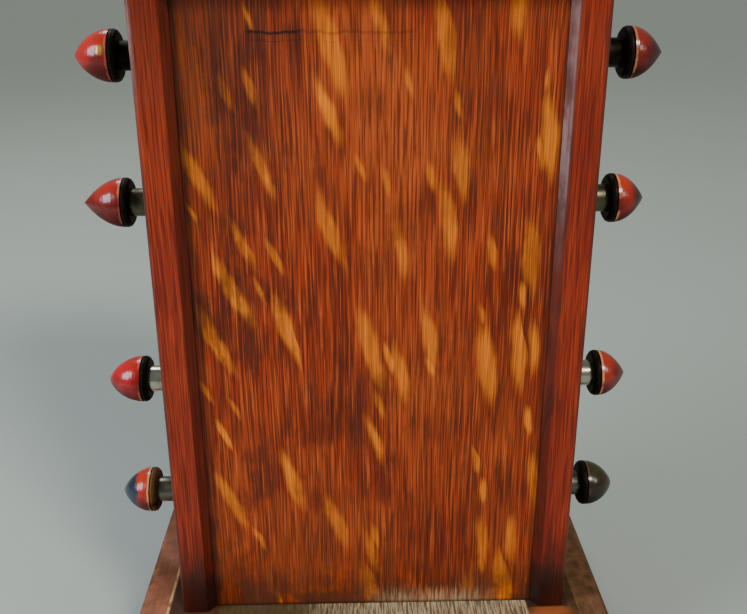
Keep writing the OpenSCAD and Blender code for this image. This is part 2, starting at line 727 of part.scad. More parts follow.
// Key, lock barrel and cam; the cam points down while the door is unlocked
module door_key() {
    color("silver") at_xz(key_c) {
        rod_y(key_r, door_inner_y() - 3, back_y + 1.5);
        rod_y(1.8, back_y, back_y + 9);
        block([-3, 3], [door_inner_y() - 4.4, door_inner_y() - 2.4], [-16, 3]);
        translate([0, back_y + 14, 0]) difference() {
            rod_x(8, -1.25, 1.25);
            rod_x(4.5, -2, 2);
        }
    }
}

feet();
plinth();
base_land();
side_left();
side_right();
stile_left();
stile_right();
front_panel();
waist_moulding();
head_front();
cornice();
top_board();
seat_board();
spindle_bushes();
ribbon_web();
paper_web();
door_fittings();
bezel_hinge();
dial();
card_escutcheon();
card_guide();
front_plate();
back_plate();
plate_pillars();
back_door();
door_leaves();
door_key();
bezel_ring();
dial_glass();
centre_arbor();
cannon_pinion();
minute_hand();
hour_wheel();
hour_hand();
minute_wheel();
minute_type_wheel();
hour_type_wheel();
third_wheel();
escape_wheel();
mainspring_barrel();
winding_arbor();
pendulum();
punch_lever();
print_hammer();
spindle_1();
spindle_2();
spindle_3();
spindle_4();
ribbon_spool_1();
ribbon_spool_2();
paper_roll_3();
paper_roll_4();
knob_left_1();
knob_left_2();
knob_left_3();
knob_left_4();
knob_right_1();
knob_right_2();
knob_right_3();
knob_right_4();
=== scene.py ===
"""Looks for the punch time clock: an oak case with worn lacquered knobs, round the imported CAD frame."""
import json
import math

import bmesh
import bpy
from mathutils import Matrix, Vector


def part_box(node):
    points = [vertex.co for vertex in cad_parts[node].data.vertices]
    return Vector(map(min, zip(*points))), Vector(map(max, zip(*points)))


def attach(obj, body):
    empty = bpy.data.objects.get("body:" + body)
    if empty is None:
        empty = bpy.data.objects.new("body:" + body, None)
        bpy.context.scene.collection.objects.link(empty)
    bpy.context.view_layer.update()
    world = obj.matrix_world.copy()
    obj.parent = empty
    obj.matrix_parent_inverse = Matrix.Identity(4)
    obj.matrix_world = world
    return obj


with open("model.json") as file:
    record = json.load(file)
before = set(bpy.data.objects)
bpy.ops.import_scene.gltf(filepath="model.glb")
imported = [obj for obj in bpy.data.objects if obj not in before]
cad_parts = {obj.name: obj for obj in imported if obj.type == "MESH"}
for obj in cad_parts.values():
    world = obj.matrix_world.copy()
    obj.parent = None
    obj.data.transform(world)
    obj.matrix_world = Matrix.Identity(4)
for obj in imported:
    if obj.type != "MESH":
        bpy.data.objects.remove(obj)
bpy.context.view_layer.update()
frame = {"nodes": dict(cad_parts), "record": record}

NODES = frame["nodes"]


def box_mm(node):
    """A node's lowest and highest corners in millimetres."""
    lo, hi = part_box(node)
    return lo * 1000, hi * 1000


def srgb(r, g, b):
    """A colour given as 0 to 255, in linear light."""
    def linear(v):
        v /= 255
        return v / 12.92 if v <= 0.04045 else ((v + 0.055) / 1.055) ** 2.4
    return linear(r), linear(g), linear(b)


# ---------------------------------------------------------------- camera and light

def make_camera():
    """A hand-held view from just above the waist, looking down on the front of the case."""
    front_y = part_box("stile_left")[0].y
    case_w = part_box("stile_right")[1].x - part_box("stile_left")[0].x
    down, turn, roll = math.radians(21.01), math.radians(1.23), math.radians(-0.25)
    eye_right, eye_back, eye_up = -0.0383, 1.9286, 1.8205  # in case widths
    forward = Vector((math.sin(turn) * math.cos(down), math.cos(turn) * math.cos(down), -math.sin(down)))
    level = Vector((math.cos(turn), -math.sin(turn), 0))
    rise = level.cross(forward)
    right = level * math.cos(roll) + rise * math.sin(roll)
    up = rise * math.cos(roll) - level * math.sin(roll)
    data = bpy.data.cameras.new("camera")
    data.sensor_width = 36
    data.lens = 43.37
    data.clip_start = 0.01
    camera = bpy.data.objects.new("camera", data)
    bpy.context.scene.collection.objects.link(camera)
    place = Matrix((right, up, -forward)).transposed().to_4x4()
    place.translation = (eye_right * case_w, front_y - eye_back * case_w, eye_up * case_w)
    camera.matrix_world = place
    bpy.context.scene.camera = camera


def lamp(name, kind, location, target, power, colour, size=None, angle=None):
    """A soft lamp aimed at a target, with its size in metres or, for a sun, its angle in degrees."""
    data = bpy.data.lights.new(name, kind)
    data.energy = power
    data.color = colour
    if size:
        data.shape = "ELLIPSE"
        data.size, data.size_y = size
    if angle:
        data.angle = math.radians(angle)
    light = bpy.data.objects.new(name, data)
    bpy.context.scene.collection.objects.link(light)
    light.location = location
    light.rotation_euler = (Vector(target) - Vector(location)).to_track_quat("-Z", "Y").to_euler()


def make_studio():
    """A warm key from the front right, a cool window at the left, two weak lamps and a plain pale floor."""
    lamp("key", "SUN", (0.75, -1.1, 1.45), (0, 0, 0.2), 2.0, (1.0, 0.92, 0.82), angle=14)
    lamp("window", "AREA", (-1.3, -0.62, 0.85), (-0.1, 0, 0.25), 24, (0.90, 0.93, 1.0), size=(0.8, 0.9))
    lamp("fill", "AREA", (1.15, -0.8, 0.8), (0.1, 0, 0.25), 4, (1.0, 0.93, 0.86), size=(0.4, 0.5))
    lamp("back", "AREA", (-0.5, 1.2, 1.9), (0, 0, 0.3), 14, (0.95, 0.98, 1.0), size=(0.9, 0.7))
    world = bpy.data.worlds.new("studio")
    world.use_nodes = True
    background = world.node_tree.nodes["Background"]
    background.inputs[0].default_value = (0.50, 0.57, 0.55, 1)
    background.inputs[1].default_value = 0.38
    bpy.context.scene.world = world
    half = 40.0
    corners = [(-half, -half, 0), (half, -half, 0), (half, half, 0), (-half, half, 0)]
    mesh = bpy.data.meshes.new("floor")
    mesh.from_pydata(corners, [], [(0, 1, 2, 3)])
    floor = bpy.data.objects.new("floor", mesh)
    bpy.context.scene.collection.objects.link(floor)
    floor.data.materials.append(floor_material())


# ---------------------------------------------------------------- node helper

class Shader:
    """A small builder round one material's node tree."""

    def __init__(self, name):
        self.material = bpy.data.materials.new(name)
        self.material.use_nodes = True
        self.tree = self.material.node_tree
        self.bsdf = self.tree.nodes["Principled BSDF"]
        self.place = None

    def node(self, kind, **settings):
        made = self.tree.nodes.new(kind)
        for key, value in settings.items():
            setattr(made, key, value)
        return made

    def feed(self, socket, value):
        """Links a socket to another node's output, or sets it to a constant."""
        if isinstance(value, bpy.types.NodeSocket):
            self.tree.links.new(value, socket)
        else:
            socket.default_value = value

    def math(self, operation, a, b=0.0):
        made = self.node("ShaderNodeMath", operation=operation)
        self.feed(made.inputs[0], a)
        self.feed(made.inputs[1], b)
        return made.outputs[0]

    def add(self, a, b):
        return self.math("ADD", a, b)

    def sub(self, a, b):
        return self.math("SUBTRACT", a, b)

    def mul(self, a, b):
        return self.math("MULTIPLY", a, b)

    def position(self):
        """The surface point in the part's own frame, in millimetres, as x, y and z."""
        if not self.place:
            scaled = self.node("ShaderNodeVectorMath", operation="SCALE")
            self.feed(scaled.inputs[0], self.node("ShaderNodeTexCoord").outputs["Object"])
            scaled.inputs["Scale"].default_value = 1000
            split = self.node("ShaderNodeSeparateXYZ")
            self.feed(split.inputs[0], scaled.outputs[0])
            self.place = tuple(split.outputs)
        return self.place

    def vector(self, x, y, z):
        made = self.node("ShaderNodeCombineXYZ")
        for socket, value in zip(made.inputs, (x, y, z)):
            self.feed(socket, value)
        return made.outputs[0]

    def noise(self, vector, scale=1.0, detail=3.0, rough=0.55):
        made = self.node("ShaderNodeTexNoise")
        self.feed(made.inputs["Vector"], vector)
        made.inputs["Scale"].default_value = scale
        made.inputs["Detail"].default_value = detail
        made.inputs["Roughness"].default_value = rough
        return made.outputs["Fac"]

    def stretched(self, u, v, per_mm_u, per_mm_v, seed=0.0, detail=3.0, rough=0.55):
        """Noise on a plane that is stretched along v."""
        return self.noise(self.vector(self.mul(u, per_mm_u), self.mul(v, per_mm_v), seed), 1.0, detail, rough)

    def cells(self, u, v):
        """Scattered cells on a plane: each cell's middle, and two random numbers for it."""
        made = self.node("ShaderNodeTexVoronoi", voronoi_dimensions="2D")
        self.feed(made.inputs["Vector"], self.vector(u, v, 0.0))
        made.inputs["Scale"].default_value = 1.0
        middle = self.node("ShaderNodeSeparateXYZ")
        self.feed(middle.inputs[0], made.outputs["Position"])
        chance = self.node("ShaderNodeSeparateColor")
        self.feed(chance.inputs[0], made.outputs["Color"])
        return middle.outputs[0], middle.outputs[1], chance.outputs[0], chance.outputs[1]

    def ramp(self, value, low, high, out_low=0.0, out_high=1.0, smooth=True):
        made = self.node("ShaderNodeMapRange")
        made.interpolation_type = "SMOOTHSTEP" if smooth else "LINEAR"
        self.feed(made.inputs["Value"], value)
        for key, number in (("From Min", low), ("From Max", high), ("To Min", out_low), ("To Max", out_high)):
            self.feed(made.inputs[key], number)
        return made.outputs["Result"]

    def mix(self, amount, a, b):
        made = self.node("ShaderNodeMix", data_type="RGBA")
        self.feed(made.inputs["Factor"], amount)
        for key, value in (("A", a), ("B", b)):
            socket = [s for s in made.inputs if s.name == key and s.type == "RGBA"][0]
            self.feed(socket, (*value, 1) if isinstance(value, tuple) else value)
        return [s for s in made.outputs if s.type == "RGBA"][0]

    def bump(self, height, strength, distance):
        made = self.node("ShaderNodeBump")
        made.inputs["Strength"].default_value = strength
        made.inputs["Distance"].default_value = distance
        self.feed(made.inputs["Height"], height)
        self.feed(self.bsdf.inputs["Normal"], made.outputs[0])

    def finish(self, colour, roughness, metallic=0.0, coat=0.0, coat_rough=0.1, specular=0.5):
        self.feed(self.bsdf.inputs["Base Color"], colour)
        self.feed(self.bsdf.inputs["Roughness"], roughness)
        self.feed(self.bsdf.inputs["Metallic"], metallic)
        if not self.bsdf.inputs["Coat Weight"].is_linked:
            self.bsdf.inputs["Coat Weight"].default_value = coat
        self.bsdf.inputs["Coat Roughness"].default_value = coat_rough
        self.bsdf.inputs["Specular IOR Level"].default_value = specular
        return self.material


# ---------------------------------------------------------------- floor and wood

def floor_material():
    s = Shader("studio_floor")
    x, y, z = s.position()
    cloud = s.noise(s.vector(x, y, z), 0.004, 4)
    return s.finish(s.mix(cloud, (0.34, 0.385, 0.36), (0.37, 0.41, 0.385)), 0.6, specular=0.25)


def grain_space(s, grain, node):
    """Millimetres across and along the grain."""
    x, y, z = s.position()
    if grain == "z":
        return s.add(x, y), z
    if grain == "x":
        return s.add(y, z), x
    # boards mitred at the corners, each with its grain along its own side
    lo, hi = box_mm(node)
    middle, half = (lo + hi) / 2, (hi - lo) / 2
    beyond_x = s.sub(s.math("ABSOLUTE", s.sub(x, middle.x)), half.x)
    beyond_y = s.sub(s.math("ABSOLUTE", s.sub(y, middle.y)), half.y)
    on_side = s.math("GREATER_THAN", beyond_x, beyond_y)
    turn = s.mul(on_side, s.sub(y, x))
    return s.add(s.sub(y, turn), z), s.add(x, turn)


# a cell's width and length in mm, a seed step, the share of cells with a fleck, and its half width in cells
FLECK_SIZES = ((19.0, 88.0, 0.0, 0.84, 0.28), (11.0, 42.0, 37.0, 0.24, 0.25))


def ray_flecks(s, u, v, ragged, across, along, offset, share, width):
    """Soft-edged ray flecks that lean to the left and stand straighter towards the right."""
    usual_slant = 0.24
    wobble = s.stretched(u, v, 0.04, 0.03, offset, 2)
    lean = s.add(s.add(u, s.mul(v, usual_slant)), s.mul(s.sub(wobble, 0.5), 8.0))
    a, b = s.math("DIVIDE", s.add(lean, offset), across), s.math("DIVIDE", s.add(v, 2 * offset), along)
    middle_a, middle_b, pick, other = s.cells(a, b)
    middle_v = s.sub(s.mul(middle_b, along), 2 * offset)
    middle_u = s.sub(s.sub(s.mul(middle_a, across), offset), s.mul(middle_v, usual_slant))
    extra = s.ramp(middle_u, -140, 10, 0.2, -0.16, smooth=False)
    off_b = s.sub(b, middle_b)
    off_a = s.add(s.sub(a, middle_a), s.mul(s.mul(off_b, along / across), extra))
    distance = s.math("SQRT", s.add(s.mul(off_a, off_a), s.mul(off_b, off_b)))
    reach = s.ramp(pick, 1.0 - share, 1.0, 0.5 * width, width, smooth=False)
    uneven = s.mul(s.sub(ragged, 0.5), 0.16)
    soft = s.ramp(s.sub(s.add(reach, uneven), distance), -0.05, 0.12)
    there = s.math("GREATER_THAN", pick, 1.0 - share)
    return s.mul(s.mul(soft, there), s.ramp(other, 0.0, 1.0, 0.62, 1.0))


def oak(name, node, grain, dark, mid, light, pore, fleck=None, fleck_share=1.0, shade=None, coat=0.5,
        coat_rough=0.12, rough=(0.34, 0.5), seed=0.0, specular=0.5, tone_at=(0.40, 0.60)):
    """Stained oak: tone bands, streaks and pores along the grain, with ray flecks if it is quarter-sawn."""
    s = Shader(name)
    u, v = grain_space(s, grain, node)
    drift = s.stretched(u, v, 0.02, 0.005, seed + 5.0, 1)
    bent = s.add(u, s.mul(s.sub(drift, 0.5), 5.0))
    bands = s.stretched(bent, v, 0.10, 0.006, seed, 3)
    streaks = s.stretched(bent, v, 0.95, 0.007, seed + 1.0, 3, 0.6)
    pores = s.stretched(bent, v, 1.45, 0.026, seed + 2.0, 2, 0.5)
    glints = s.stretched(bent, v, 1.2, 0.024, seed + 3.0, 2, 0.5)
    broad = s.stretched(u, v, 0.013, 0.007, seed + 4.0, 2)
    tone = s.add(s.mul(bands, 0.3), s.mul(streaks, 0.7))
    colour = s.mix(s.ramp(tone, *tone_at), dark, mid)
    colour = s.mix(s.ramp(broad, 0.40, 0.70, 0.0, 0.5), colour, light)
    colour = s.mix(s.ramp(glints, 0.50, 0.68, 0.0, 0.75), colour, light)
    pore_amount = s.ramp(pores, 0.47, 0.58, 0.0, 0.7)
    height = s.mul(streaks, 0.25)
    if fleck:
        large, small = [
            ray_flecks(s, u, v, streaks, across, along, seed + step, share * fleck_share, width)
            for across, along, step, share, width in FLECK_SIZES]
        rays = s.math("MAXIMUM", large, small)
        glow = s.mix(s.ramp(glints, 0.36, 0.64), tuple(0.68 * c for c in fleck), fleck)
        colour = s.mix(s.mul(rays, 0.92), colour, glow)
        pore_amount = s.mul(pore_amount, s.ramp(rays, 0.0, 1.0, 1.0, 0.35, smooth=False))
        height = s.add(height, s.mul(rays, 0.3))
    colour = s.mix(pore_amount, colour, pore)
    if shade:
        colour = shade(s, colour)
    s.bump(s.sub(height, s.mul(pore_amount, 0.6)), 0.35, 0.0004)
    smudge = s.noise(s.vector(*s.position()), 0.03, 3)
    return s.finish(colour, s.ramp(smudge, 0.3, 0.7, *rough), coat=coat, coat_rough=coat_rough,
                    specular=specular)


def panel_shade(s, colour):
    """The panel has a darker, greyer painted shadow towards its top left, is darker along its foot and edges,
    and has one check.
    """
    lo, hi = box_mm("front_panel")
    x, y, z = s.position()
    wide, tall = hi.x - lo.x, hi.z - lo.z
    cloud = s.noise(s.vector(x, y, z), 0.02, 3)
    # painted shadow of the moulding above: darker and greyer towards the top left
    left = s.ramp(s.add(x, s.mul(s.sub(cloud, 0.5), 60.0)), lo.x, lo.x + 0.45 * wide, 1.0, 0.0)
    top = s.ramp(z, lo.z + 0.55 * tall, hi.z, 0.0, 1.0)
    colour = s.mix(s.mul(s.mul(left, top), 0.6), colour, srgb(66, 36, 18))
    low = s.mul(s.ramp(z, lo.z, lo.z + 0.35 * tall, 1.0, 0.0), s.ramp(x, lo.x, hi.x, 0.45, 0.2))
    colour = s.mix(s.mul(low, s.ramp(cloud, 0.35, 0.6)), colour, srgb(64, 24, 12))
    grime = s.noise(s.vector(x, y, s.mul(z, 0.5)), 0.045, 5, 0.65)
    patchy = s.ramp(x, lo.x, hi.x, 0.75, 0.3)
    stripes = s.ramp(s.stretched(x, z, 0.9, 0.018, 6.0), 0.38, 0.56, 0.25, 1.0)
    colour = s.mix(s.mul(s.mul(s.ramp(grime, 0.46, 0.64), patchy), stripes), colour, srgb(56, 22, 13))
    rub = s.noise(s.vector(x, y, z), 0.06, 4, 0.6)
    foot = s.ramp(z, lo.z, lo.z + 0.12 * tall, 0.9, 0.0)
    colour = s.mix(s.mul(foot, s.ramp(rub, 0.34, 0.56)), colour, srgb(78, 40, 24))
    # bare, grey wood where damp has lifted the polish right of the middle
    bare = s.ramp(s.math("ABSOLUTE", s.sub(x, lo.x + 0.69 * wide)), 0.08 * wide, 0.24 * wide, 1.0, 0.0)
    comb = s.stretched(x, z, 0.8, 0.05, 12.0, 3, 0.6)
    reach_z = s.add(z, s.mul(s.sub(comb, 0.5), 26.0))
    bare = s.mul(bare, s.ramp(reach_z, lo.z + 1, lo.z + 13, 1.0, 0.0))
    colour = s.mix(s.mul(bare, s.ramp(comb, 0.34, 0.6, 0.95, 0.35)), colour, srgb(168, 138, 106))
    rim = s.math("MAXIMUM", s.ramp(x, lo.x, lo.x + 6, 0.75, 0.0), s.ramp(x, hi.x - 4, hi.x, 0.0, 0.6))
    rim = s.math("MAXIMUM", rim, s.ramp(z, lo.z, lo.z + 3, 0.8, 0.0))
    colour = s.mix(rim, colour, srgb(34, 14, 6))
    # a short drying check across the grain near the top, with a fainter one below it
    check_z, beside_z = hi.z - 0.057 * tall, hi.z - 0.068 * tall
    line_z = s.add(z, s.mul(s.sub(s.stretched(x, z, 0.12, 0.02, 9.0), 0.5), 5.0))
    off = s.math("ABSOLUTE", s.sub(line_z, check_z))
    beside = s.math("ABSOLUTE", s.sub(line_z, beside_z))
    off = s.math("MINIMUM", off, s.add(beside, 0.6))
    start, stop, faint = lo.x + 0.19 * wide, lo.x + 0.32 * wide, lo.x + 0.63 * wide
    strong = s.mul(s.ramp(x, start - 2, start + 2), s.ramp(x, stop - 3, stop + 3, 1.0, 0.35))
    strong = s.mul(strong, s.ramp(x, faint - 8, faint, 1.0, 0.0))
    return s.mix(s.mul(s.ramp(off, 0.2, 1.1, 0.85, 0.0), strong), colour, srgb(20, 10, 6))


def stile_shade(s, colour):
    """The stiles' arrises and feet are dark, with painted shade on the inner bevels and a painted shadow on
    the left one's head; a pale painted highlight lies on the right bevel and the left outer edge near the
    top.
    """
    lo, hi = box_mm("stile_left")
    bevel_out = box_mm("front_panel")[1].x + 4.2  # where the bevel meets the stile's face
    x, y, z = s.position()
    tall = hi.z - lo.z
    out = s.math("ABSOLUTE", x)
    cloud = s.noise(s.vector(x, y, s.mul(z, 0.4)), 0.12, 3)
    on_right = s.math("GREATER_THAN", x, 0.0)
    edge = s.ramp(out, -lo.x - 2.2, -lo.x, 0.0, 0.8)
    # painted shade on the inner bevels beside the panel
    painted_bevel_shade = s.ramp(out, bevel_out - 0.8, bevel_out + 0.8, 0.62, 0.0)
    ragged_z = s.add(z, s.mul(s.sub(cloud, 0.5), 30.0))
    foot = s.mul(s.ramp(ragged_z, lo.z + 16, lo.z + 56, 1.0, 0.0), s.ramp(out, -lo.x, bevel_out, 0.88, 1.0))
    # painted shadow of the moulding above, on the left stile's head
    head = s.mul(s.ramp(ragged_z, hi.z - 80, hi.z - 10, 0.0, 0.42), s.sub(1.0, on_right))
    dark = s.math("MAXIMUM", s.math("MAXIMUM", edge, painted_bevel_shade), s.math("MAXIMUM", foot, head))
    colour = s.mix(dark, colour, srgb(40, 14, 8))
    # a pale lilac painted highlight on the upper right bevel and on the left stile's outer edge near the top;
    # the coat is raised there as well
    bevel = s.mul(s.mul(s.ramp(out, bevel_out - 1.2, bevel_out - 0.4, 1.0, 0.0), on_right),
                  s.ramp(z, lo.z + 0.56 * tall, lo.z + 0.8 * tall))
    outer = s.mul(s.mul(s.ramp(out, -lo.x - 3.0, -lo.x - 1.0), s.sub(1.0, on_right)),
                  s.ramp(z, lo.z + 0.8 * tall, lo.z + 0.95 * tall))
    highlight_area = s.math("MAXIMUM", bevel, outer)
    s.feed(s.bsdf.inputs["Coat Weight"], s.ramp(highlight_area, 0.0, 1.0, 0.15, 1.0))
    highlight_streaks = s.stretched(out, z, 0.9, 0.012, 8.0)
    painted_highlight = s.mul(s.ramp(cloud, 0.34, 0.62, 0.1, 0.62), s.ramp(highlight_streaks, 0.3, 0.6, 0.55, 1.0))
    return s.mix(s.mul(highlight_area, painted_highlight), colour, srgb(160, 130, 130))


def base_shade(s, colour):
    """Painted shade lies on the land beside the stiles, with a painted highlight line beyond it; the strip
    below the panel is pale, and the right side is olive.
    """
    hi = box_mm("base_land")[1]
    panel_lo, panel_hi = box_mm("front_panel")
    panel_wide = panel_hi.x - panel_lo.x
    case_lo = box_mm("stile_left")[0]
    side = -case_lo.x
    x, y, z = s.position()
    rub = s.noise(s.vector(x, y, z), 0.08, 4, 0.6)
    out_x = s.math("ABSOLUTE", x)
    right = s.ramp(x, 0.0, side)
    olive = s.mix(s.ramp(rub, 0.38, 0.62), srgb(72, 60, 36), srgb(118, 84, 60))
    pinkish = s.mix(s.ramp(rub, 0.36, 0.6), srgb(156, 100, 78), srgb(126, 78, 56))
    colour = s.mix(s.ramp(x, -side, 0.0, 0.62, 0.0), colour, pinkish)
    colour = s.mix(s.mul(right, 0.72), colour, olive)
    # painted shade on the land beside the case and in front of its corners
    beside = s.mul(s.ramp(out_x, side + 7, side + 9.5, 1.0, 0.0), s.ramp(out_x, side - 4, side))
    near = s.mul(beside, s.ramp(right, 0.0, 1.0, 0.85, 0.45))
    before = s.mul(s.ramp(y, case_lo.y - 7, case_lo.y - 1), s.ramp(out_x, side + 2, side + 6, 0.7, 0.0))
    colour = s.mix(s.math("MAXIMUM", near, before), colour, srgb(30, 18, 10))
    # a painted highlight: a pale gold line on the land just beyond each side of the case
    line = s.ramp(s.math("ABSOLUTE", s.sub(out_x, side + 9)), 0.3, 1.1, 1.0, 0.0)
    line = s.mul(line, s.ramp(s.stretched(x, y, 0.1, 0.12, 4.0), 0.36, 0.5, 0.15, 0.8))
    colour = s.mix(s.mul(line, s.ramp(right, 0.0, 1.0, 1.0, 0.1)), colour, srgb(196, 160, 104))
    edge = s.math("MAXIMUM", s.ramp(out_x, hi.x - 5, hi.x - 1),
                  s.ramp(s.math("ABSOLUTE", y), hi.y - 5, hi.y - 1))
    colour = s.mix(s.mul(edge, s.ramp(rub, 0.4, 0.6, 0.1, 0.55)), colour, srgb(52, 34, 20))
    # orange-brown wood shows in front of the right stile
    middle_x = (panel_hi.x + side) / 2
    across = s.ramp(s.math("ABSOLUTE", s.sub(x, middle_x + 2)), 5.0, 16.0, 1.0, 0.0)
    front = s.mul(s.ramp(s.add(y, s.mul(s.sub(rub, 0.5), 12.0)), case_lo.y - 13, case_lo.y - 5), across)
    front = s.mul(front, s.ramp(y, case_lo.y - 1.5, case_lo.y, 1.0, 0.0))
    colour = s.mix(s.mul(front, 0.75), colour, srgb(160, 84, 42))
    # the strip below the panel: olive on the left, pale and streaked from the middle on
    deep = s.mul(s.ramp(y, case_lo.y - 15, case_lo.y - 8), s.ramp(y, panel_lo.y, panel_lo.y + 2, 1.0, 0.0))
    sill = s.mul(s.ramp(out_x, panel_hi.x - 3, panel_hi.x - 1.5, 1.0, 0.0), deep)
    streak = s.stretched(x, y, 0.8, 0.05, 2.0, 4, 0.7)
    worn = s.mix(s.ramp(streak, 0.40, 0.60), srgb(180, 162, 132), srgb(92, 74, 48))
    fade_x = s.add(x, s.mul(s.sub(rub, 0.5), 50.0))
    fade_from, fade_to = panel_lo.x + 0.22 * panel_wide, panel_lo.x + 0.5 * panel_wide
    worn = s.mix(s.ramp(fade_x, fade_from, fade_to, 0.92, 0.0), worn, srgb(68, 55, 33))
    return s.mix(s.mul(sill, 0.9), colour, worn)


# ---------------------------------------------------------------- metal, lacquer and the rest

def metal(name, colour, dark, roughness, patina=0.5, rings=False):
    """Worked metal: fine brushing or turning rings, with a patina that gathers in patches."""
    s = Shader(name)
    x, y, z = s.position()
    if rings:
        brushed = s.noise(s.vector(s.mul(x, 3.0), 0.0, 0.0), 1.0, 4)
    else:
        brushed = s.noise(s.vector(s.mul(x, 0.4), s.mul(y, 0.4), s.mul(z, 6.0)), 1.0, 4)
    patches = s.noise(s.vector(x, y, z), 0.06, 4, 0.55)
    mask = s.ramp(patches, 0.62 - 0.35 * patina, 0.78 - 0.2 * patina)
    tint = s.mix(mask, colour, dark)
    tint = s.mix(s.ramp(brushed, 0.3, 0.7, 0.0, 0.25), tint, dark)
    rough = s.add(s.ramp(brushed, 0.3, 0.7, roughness * 0.8, roughness * 1.25), s.mul(mask, 0.18))
    s.bump(brushed, 0.12, 0.00005)
    return s.finish(tint, rough, metallic=1.0)


def worn_knob(name, node, red, worn_tip=0.0, brass_spot=False, rim_wear_and_highlight=0.6, tip_dark=0.0, band_gold=0.0,
              seed=0.0):
    """Lacquer over dark metal: bare on the back band, rubbed and given a painted highlight at the rim and, on
    some, rubbed at the tip; painted light on top, painted shade underneath.
    """
    s = Shader(name)
    lo, hi = box_mm(node)
    x, y, z = s.position()
    back, tip = (hi.x, lo.x) if lo.x < 0 else (lo.x, hi.x)
    length = abs(tip - back)
    from_back = s.ramp(x, back, tip, 0.0, length, smooth=False)
    place = s.vector(s.add(x, seed), y, z)
    patches = s.noise(place, 0.07, 3, 0.5)
    chips = s.noise(place, 0.6, 4, 0.65)
    deep = tuple(0.42 * c for c in red)
    warm = (min(1.0, 1.5 * red[0]), 1.7 * red[1] + 0.01, 0.8 * red[2])
    colour = s.mix(s.ramp(patches, 0.36, 0.60), deep, red)
    middle_z = (lo.z + hi.z) / 2
    # painted light: the top of the knob is lighter and warmer
    colour = s.mix(s.ramp(z, middle_z, hi.z, 0.0, 0.6), colour, warm)
    # painted shade: the underside of the knob is darker
    painted_underside_shade = s.ramp(s.add(z, s.mul(patches, 5.0)), lo.z + 6, middle_z + 5.5, 1.0, 0.0)
    colour = s.mix(s.mul(painted_underside_shade, 0.85), colour, tuple(0.12 * c + 0.004 for c in red))
    colour = s.mix(s.ramp(chips, 0.60, 0.75, 0.0, 0.3), colour, warm)
    colour = s.mix(s.ramp(from_back, 0.38 * length, 0.82 * length, 0.0, tip_dark), colour,
                   srgb(44, 14, 16))
    ragged = s.add(from_back, s.mul(s.sub(chips, 0.5), 1.2))
    edge_at = 4.1  # mm from the back, where the lacquer starts
    past_rim = s.ramp(ragged, edge_at + 0.8, edge_at + 1.8, 1.0, 0.0)
    # the pale rim is partly rubbed lacquer and partly a painted highlight
    rim = s.mul(s.ramp(ragged, edge_at, edge_at + 0.4), past_rim)
    colour = s.mix(s.mul(s.mul(rim, s.ramp(patches, 0.40, 0.56)), rim_wear_and_highlight), colour, srgb(226, 160, 112))
    worn = 0.0
    if brass_spot:
        # an oval patch on the front, with its middle and its half size along each axis in mm
        scaled = [s.math("DIVIDE", s.sub(along, middle), half) for along, middle, half in
                  ((from_back, 7.0, 2.6), (y, lo.y + 2.2, 4.0), (z, middle_z + 4.0, 3.6))]
        off_x, off_y, off_z = [s.mul(away, away) for away in scaled]
        off = s.add(s.add(off_x, off_y), off_z)
        spot = s.ramp(s.add(off, s.mul(s.sub(chips, 0.5), 2.5)), 0.6, 0.95, 1.0, 0.0)
        colour = s.mix(spot, colour, srgb(150, 100, 36))
        worn = spot
    if worn_tip:
        edge = s.add(from_back, s.mul(s.sub(patches, 0.5), 14.0))
        worn_from = length * (1 - worn_tip)
        gone = s.ramp(edge, worn_from, worn_from + 1.5)
        colour = s.mix(gone, colour, srgb(40, 54, 74))
        worn = s.math("MAXIMUM", worn, gone)
    band = s.ramp(ragged, edge_at - 0.3, edge_at + 0.2, 1.0, 0.0)
    bare = s.mix(s.ramp(chips, 0.45, 0.7), srgb(10, 10, 8), srgb(36, 31, 20))
    bare = s.mix(s.ramp(patches, 0.40, 0.56, 0.0, band_gold), bare, srgb(138, 104, 58))
    colour = s.mix(band, colour, bare)
    s.bump(s.add(s.mul(chips, 0.25), patches), 0.16, 0.0004)
    dull = s.math("MAXIMUM", band, s.mul(painted_underside_shade, 0.9))
    s.feed(s.bsdf.inputs["Coat Weight"], s.ramp(dull, 0.0, 1.0, 0.7, 0.02))
    s.feed(s.bsdf.inputs["Base Color"], colour)
    s.feed(s.bsdf.inputs["Roughness"], s.add(s.ramp(chips, 0.3, 0.7, 0.26, 0.38), s.mul(dull, 0.25)))
    s.feed(s.bsdf.inputs["Metallic"], s.mul(worn, 0.55))
    s.bsdf.inputs["Coat Roughness"].default_value = 0.18
    s.bsdf.inputs["Specular IOR Level"].default_value = 0.12
    return s.material


def enamel():
    s = Shader("dial_enamel")
    place = s.vector(*s.position())
    haze = s.noise(place, 0.05, 4)
    specks = s.noise(place, 0.9, 2)
    colour = s.mix(s.ramp(haze, 0.35, 0.75), srgb(236, 230, 212), srgb(214, 203, 176))
    colour = s.mix(s.ramp(specks, 0.73, 0.78, 0.0, 0.5), colour, srgb(130, 110, 80))
    s.bump(haze, 0.05, 0.0002)
    return s.finish(colour, 0.22, coat=0.8, coat_rough=0.05)


def clear_glass():
    s = Shader("dial_glass_clear")
    wave = s.noise(s.vector(*s.position()), 0.03, 2)
    s.bump(wave, 0.04, 0.001)
    s.bsdf.inputs["Transmission Weight"].default_value = 1.0
    s.bsdf.inputs["IOR"].default_value = 1.46
    return s.finish(s.mix(wave, (0.98, 1.0, 0.99), (0.94, 0.98, 0.97)), 0.02)


